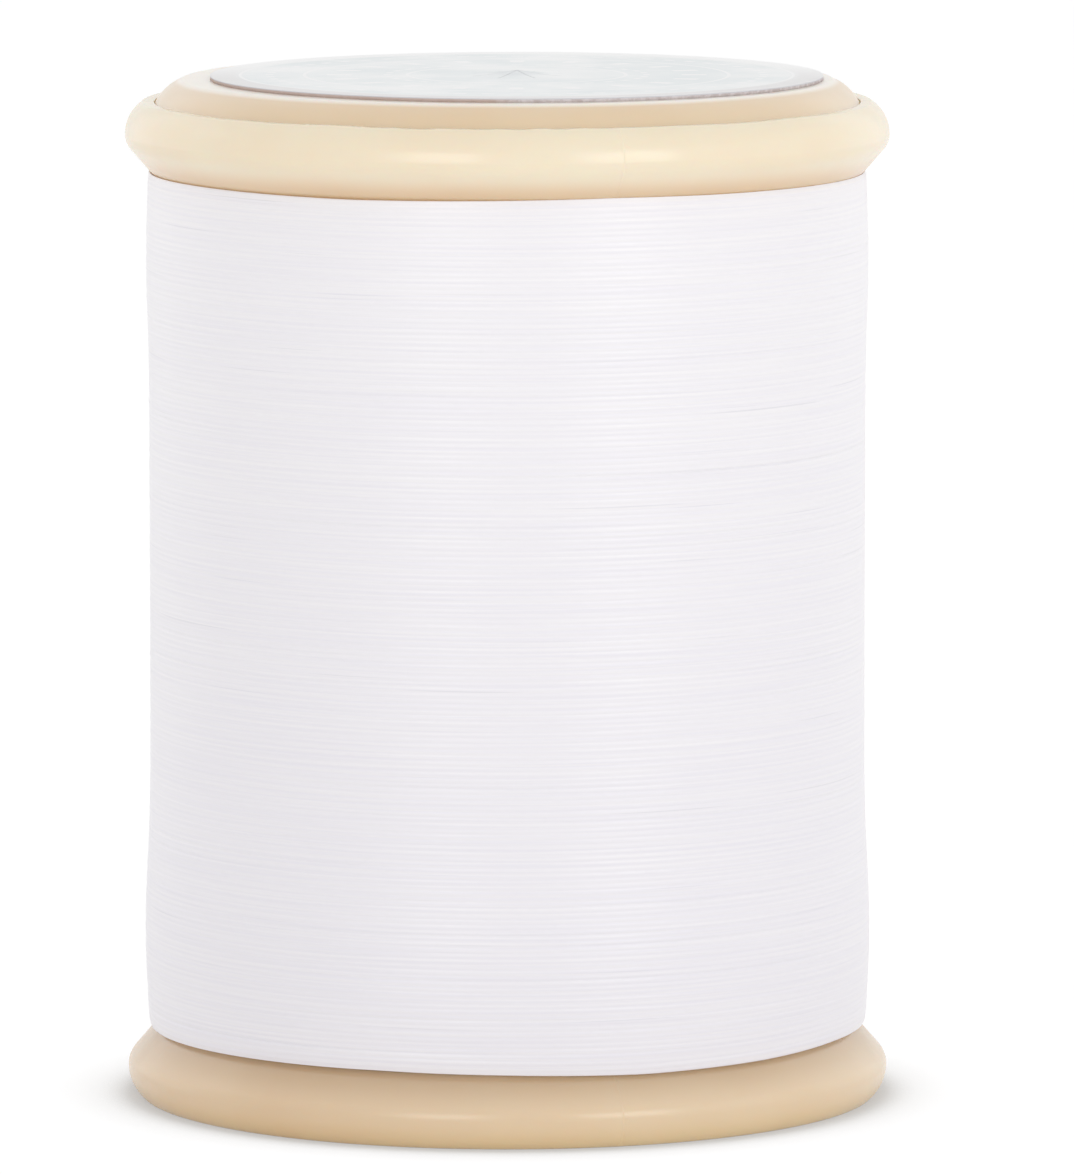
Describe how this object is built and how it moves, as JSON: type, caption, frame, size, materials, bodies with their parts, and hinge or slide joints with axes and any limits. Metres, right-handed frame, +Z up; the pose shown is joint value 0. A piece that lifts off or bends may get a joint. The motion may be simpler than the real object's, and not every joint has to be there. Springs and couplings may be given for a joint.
{
  "type": "waxed thread spool",
  "caption": "Hollow flanged spool with a raised labelled cap and a spindle bore, wound level and full with fine waxed thread.",
  "frame": {"origin": "centre of the foot under the lower flange, where the spool's axis meets the surface it stands on", "axes": "+Z up along the spool's axis, from the foot to the labelled cap; +X is the side that the label is stuck towards; -Y faces the viewer"},
  "size_m": [0.0484, 0.0482, 0.0651],
  "materials": {
    "flange_plastic": "cream injection-moulded plastic, soft gloss with a fine parting line",
    "cap_plastic": "cream moulded plastic, satin",
    "label_card": "pale silver-grey coated card with a dark cut edge",
    "waxed_thread": "white waxed thread in close level turns, silky sheen"
  },
  "bodies": {
    "root": {"spool_body": "flange_plastic", "top_cap": "cap_plastic", "base_cap": "cap_plastic", "top_label": "label_card", "thread_core": "waxed_thread", "thread_outer_turns": "waxed_thread"}
  },
  "joints": []
}
